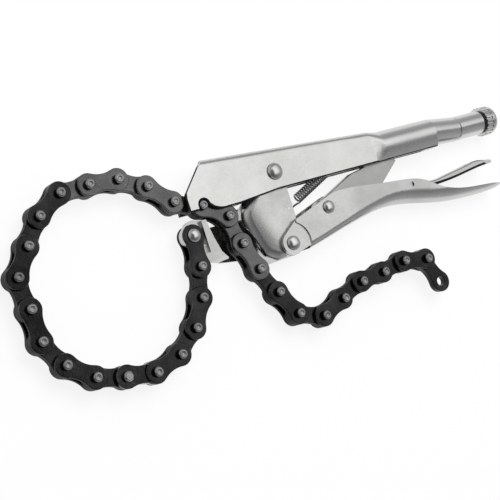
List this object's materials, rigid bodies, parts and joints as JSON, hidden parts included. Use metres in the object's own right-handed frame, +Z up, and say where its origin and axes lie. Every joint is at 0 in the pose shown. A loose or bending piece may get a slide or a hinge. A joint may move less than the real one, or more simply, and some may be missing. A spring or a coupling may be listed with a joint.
{
  "type": "chain clamp",
  "caption": "Locking plier with a chain: the lower jaw pulls the chain tight round a workpiece, its free end sits in a notch of the upper handle, and a toggle lever locks it.",
  "frame": {"origin": "middle of the tool's outline, on the surface that it lies on", "axes": "+X along the upper handle towards the adjusting knob, +Y from the lever towards the handle's spine, +Z up from the surface that the tool lies on"},
  "size_m": [0.321, 0.1118, 0.0183],
  "materials": {
    "plated_steel": "satin nickel",
    "spring_steel": "drawn wire",
    "blackened_steel": "black oxide"
  },
  "bodies": {
    "handle": {"handle_body": "plated_steel", "threaded_collar": "plated_steel", "main_rivet": "plated_steel", "return_spring": "spring_steel"},
    "screw": {"adjusting_screw": "plated_steel"},
    "jaw": {"lower_jaw": "plated_steel", "spring_pin": "plated_steel", "chain_anchor_pin": "plated_steel"},
    "lever": {"lever_handle": "plated_steel", "jaw_rivet": "plated_steel", "toggle_rivet": "plated_steel", "release_pin": "plated_steel"},
    "toggle": {"toggle_link": "plated_steel"},
    "release": {"release_lever": "plated_steel"},
    "link_01": {"chain_link_01": "blackened_steel"},
    "link_02": {"chain_link_02": "blackened_steel"},
    "link_03": {"chain_link_03": "blackened_steel"},
    "link_04": {"chain_link_04": "blackened_steel"},
    "link_05": {"chain_link_05": "blackened_steel"},
    "link_06": {"chain_link_06": "blackened_steel"},
    "link_07": {"chain_link_07": "blackened_steel"},
    "link_08": {"chain_link_08": "blackened_steel"},
    "link_09": {"chain_link_09": "blackened_steel"},
    "link_10": {"chain_link_10": "blackened_steel"},
    "link_11": {"chain_link_11": "blackened_steel"},
    "link_12": {"chain_link_12": "blackened_steel"},
    "link_13": {"chain_link_13": "blackened_steel"},
    "link_14": {"chain_link_14": "blackened_steel"},
    "link_15": {"chain_link_15": "blackened_steel"},
    "link_16": {"chain_link_16": "blackened_steel"},
    "link_17": {"chain_link_17": "blackened_steel"},
    "link_18": {"chain_link_18": "blackened_steel"},
    "link_19": {"chain_link_19": "blackened_steel"},
    "link_20": {"chain_link_20": "blackened_steel"},
    "link_21": {"chain_link_21": "blackened_steel"},
    "link_22": {"chain_link_22": "blackened_steel"},
    "link_23": {"chain_link_23": "blackened_steel"},
    "link_24": {"chain_link_24": "blackened_steel"},
    "link_25": {"chain_link_25": "blackened_steel"},
    "link_26": {"chain_link_26": "blackened_steel"},
    "link_27": {"chain_link_27": "blackened_steel"},
    "link_28": {"chain_link_28": "blackened_steel"},
    "link_29": {"chain_link_29": "blackened_steel"},
    "link_30": {"chain_link_30": "blackened_steel"},
    "link_31": {"chain_link_31": "blackened_steel"}
  },
  "joints": [
    {"name": "jaw_pivot", "type": "hinge", "parent": "handle", "child": "jaw", "pos_m": [-0.0027, 0.03312, 0.0092], "axis": [0, 0, 1], "range_deg": [0, 12], "deforming": ["return_spring"]},
    {"name": "lever_pivot", "type": "hinge", "parent": "jaw", "child": "lever", "pos_m": [-0.0051, -0.00568, 0.0092], "axis": [0, 0, 1], "range_deg": [-43.22, 0]},
    {"name": "toggle_pivot", "type": "hinge", "parent": "lever", "child": "toggle", "pos_m": [0.0229, 0.00732, 0.0092], "axis": [0, 0, 1], "range_deg": [0, 51.22]},
    {"name": "release_pivot", "type": "hinge", "parent": "lever", "child": "release", "pos_m": [0.0823, 0.00662, 0.0092], "axis": [0, 0, 1], "range_deg": [-6, 0]},
    {"name": "screw_slide", "type": "slide", "parent": "handle", "child": "screw", "axis": [1, 0, 0], "range_m": [0, 0.012]},
    {"name": "hinge_01", "type": "hinge", "parent": "jaw", "child": "link_01", "pos_m": [-0.05901, 0.01244, 0.0092], "axis": [0, 0, 1], "range_deg": [-8, 0]},
    {"name": "hinge_02", "type": "hinge", "parent": "link_01", "child": "link_02", "pos_m": [-0.06039, -0.00338, 0.0092], "axis": [0, 0, 1], "range_deg": [0, 0.7]},
    {"name": "hinge_03", "type": "hinge", "parent": "link_02", "child": "link_03", "pos_m": [-0.06503, -0.01856, 0.0092], "axis": [0, 0, 1], "range_deg": [0, 2.6]},
    {"name": "hinge_04", "type": "hinge", "parent": "link_03", "child": "link_04", "pos_m": [-0.07368, -0.03187, 0.0092], "axis": [0, 0, 1], "range_deg": [0, 4.62]},
    {"name": "hinge_05", "type": "hinge", "parent": "link_04", "child": "link_05", "pos_m": [-0.08601, -0.04186, 0.0092], "axis": [0, 0, 1], "range_deg": [0, 5.64]},
    {"name": "hinge_06", "type": "hinge", "parent": "link_05", "child": "link_06", "pos_m": [-0.10128, -0.04624, 0.0092], "axis": [0, 0, 1], "range_deg": [0, 2.04]},
    {"name": "hinge_07", "type": "hinge", "parent": "link_06", "child": "link_07", "pos_m": [-0.11696, -0.04376, 0.0092], "axis": [0, 0, 1], "range_deg": [-0.7, 0]},
    {"name": "hinge_08", "type": "hinge", "parent": "link_07", "child": "link_08", "pos_m": [-0.13221, -0.03938, 0.0092], "axis": [0, 0, 1], "range_deg": [-3.98, 0]},
    {"name": "hinge_09", "type": "hinge", "parent": "link_08", "child": "link_09", "pos_m": [-0.14472, -0.02961, 0.0092], "axis": [0, 0, 1], "range_deg": [-5.8, 0]},
    {"name": "hinge_10", "type": "hinge", "parent": "link_09", "child": "link_10", "pos_m": [-0.15266, -0.01586, 0.0092], "axis": [0, 0, 1], "range_deg": [-4.88, 0]},
    {"name": "hinge_11", "type": "hinge", "parent": "link_10", "child": "link_11", "pos_m": [-0.15322, 0.00001, 0.0092], "axis": [0, 0, 1], "range_deg": [0, 0.7]},
    {"name": "hinge_12", "type": "hinge", "parent": "link_11", "child": "link_12", "pos_m": [-0.1546, 0.01582, 0.0092], "axis": [0, 0, 1], "range_deg": [0, 3.73]},
    {"name": "hinge_13", "type": "hinge", "parent": "link_12", "child": "link_13", "pos_m": [-0.14527, 0.02866, 0.0092], "axis": [0, 0, 1], "range_deg": [0, 0.7]},
    {"name": "hinge_14", "type": "hinge", "parent": "link_13", "child": "link_14", "pos_m": [-0.13528, 0.041, 0.0092], "axis": [0, 0, 1], "range_deg": [0, 4.96]},
    {"name": "hinge_15", "type": "hinge", "parent": "link_14", "child": "link_15", "pos_m": [-0.12182, 0.04941, 0.0092], "axis": [0, 0, 1], "range_deg": [0, 4.95]},
    {"name": "hinge_16", "type": "hinge", "parent": "link_15", "child": "link_16", "pos_m": [-0.10595, 0.04997, 0.0092], "axis": [0, 0, 1], "range_deg": [-1.01, 0]},
    {"name": "hinge_17", "type": "hinge", "parent": "link_16", "child": "link_17", "pos_m": [-0.0901, 0.04914, 0.0092], "axis": [0, 0, 1], "range_deg": [-3.21, 0]},
    {"name": "hinge_18", "type": "hinge", "parent": "link_17", "child": "link_18", "pos_m": [-0.07583, 0.04218, 0.0092], "axis": [0, 0, 1], "range_deg": [-3.76, 0]},
    {"name": "hinge_19", "type": "hinge", "parent": "link_18", "child": "link_19", "pos_m": [-0.06422, 0.03135, 0.0092], "axis": [0, 0, 1], "range_deg": [0, 0.7]},
    {"name": "hinge_20", "type": "hinge", "parent": "link_19", "child": "link_20", "pos_m": [-0.0493, 0.02592, 0.0092], "axis": [0, 0, 1], "range_deg": [-6, 2]},
    {"name": "hinge_21", "type": "hinge", "parent": "link_20", "child": "link_21", "pos_m": [-0.03599, 0.01727, 0.0092], "axis": [0, 0, 1], "range_deg": [-9, 3]},
    {"name": "hinge_22", "type": "hinge", "parent": "link_21", "child": "link_22", "pos_m": [-0.03296, 0.00169, 0.0092], "axis": [0, 0, 1], "range_deg": [-50, 0]},
    {"name": "hinge_23", "type": "hinge", "parent": "link_22", "child": "link_23", "pos_m": [-0.02779, -0.01332, 0.0092], "axis": [0, 0, 1], "range_deg": [-22, 5]},
    {"name": "hinge_24", "type": "hinge", "parent": "link_23", "child": "link_24", "pos_m": [-0.02108, -0.02771, 0.0092], "axis": [0, 0, 1], "range_deg": [-22, 5]},
    {"name": "hinge_25", "type": "hinge", "parent": "link_24", "child": "link_25", "pos_m": [-0.01314, -0.04145, 0.0092], "axis": [0, 0, 1], "range_deg": [-22, 5]},
    {"name": "hinge_26", "type": "hinge", "parent": "link_25", "child": "link_26", "pos_m": [0.00178, -0.04688, 0.0092], "axis": [0, 0, 1], "range_deg": [-22, 5]},
    {"name": "hinge_27", "type": "hinge", "parent": "link_26", "child": "link_27", "pos_m": [0.01669, -0.04145, 0.0092], "axis": [0, 0, 1], "range_deg": [-22, 5]},
    {"name": "hinge_28", "type": "hinge", "parent": "link_27", "child": "link_28", "pos_m": [0.03161, -0.03603, 0.0092], "axis": [0, 0, 1], "range_deg": [-20, 6]},
    {"name": "hinge_29", "type": "hinge", "parent": "link_28", "child": "link_29", "pos_m": [0.04745, -0.03492, 0.0092], "axis": [0, 0, 1], "range_deg": [-20, 8]},
    {"name": "hinge_30", "type": "hinge", "parent": "link_29", "child": "link_30", "pos_m": [0.06317, -0.03271, 0.0092], "axis": [0, 0, 1], "range_deg": [-20, 10]},
    {"name": "hinge_31", "type": "hinge", "parent": "link_30", "child": "link_31", "pos_m": [0.0788, -0.03547, 0.0092], "axis": [0, 0, 1], "range_deg": [-20, 20]}
  ],
  "couplings": [
    {"joint": "lever_pivot", "follows": "jaw_pivot", "ratio": -3.6016},
    {"joint": "toggle_pivot", "follows": "jaw_pivot", "ratio": 4.2682},
    {"joint": "hinge_02", "follows": "hinge_01", "ratio": -0.0875},
    {"joint": "hinge_03", "follows": "hinge_01", "ratio": -0.3247},
    {"joint": "hinge_04", "follows": "hinge_01", "ratio": -0.5778},
    {"joint": "hinge_05", "follows": "hinge_01", "ratio": -0.705},
    {"joint": "hinge_06", "follows": "hinge_01", "ratio": -0.2554},
    {"joint": "hinge_07", "follows": "hinge_01", "ratio": 0.0875},
    {"joint": "hinge_08", "follows": "hinge_01", "ratio": 0.4975},
    {"joint": "hinge_09", "follows": "hinge_01", "ratio": 0.725},
    {"joint": "hinge_10", "follows": "hinge_01", "ratio": 0.61},
    {"joint": "hinge_11", "follows": "hinge_01", "ratio": -0.0875},
    {"joint": "hinge_12", "follows": "hinge_01", "ratio": -0.4664},
    {"joint": "hinge_13", "follows": "hinge_01", "ratio": -0.0875},
    {"joint": "hinge_14", "follows": "hinge_01", "ratio": -0.6197},
    {"joint": "hinge_15", "follows": "hinge_01", "ratio": -0.6184},
    {"joint": "hinge_16", "follows": "hinge_01", "ratio": 0.1264},
    {"joint": "hinge_17", "follows": "hinge_01", "ratio": 0.4005},
    {"joint": "hinge_18", "follows": "hinge_01", "ratio": 0.4704},
    {"joint": "hinge_19", "follows": "hinge_01", "ratio": -0.0875},
    {"joint": "hinge_22", "follows": "jaw_pivot", "ratio": -4.1667}
  ]
}
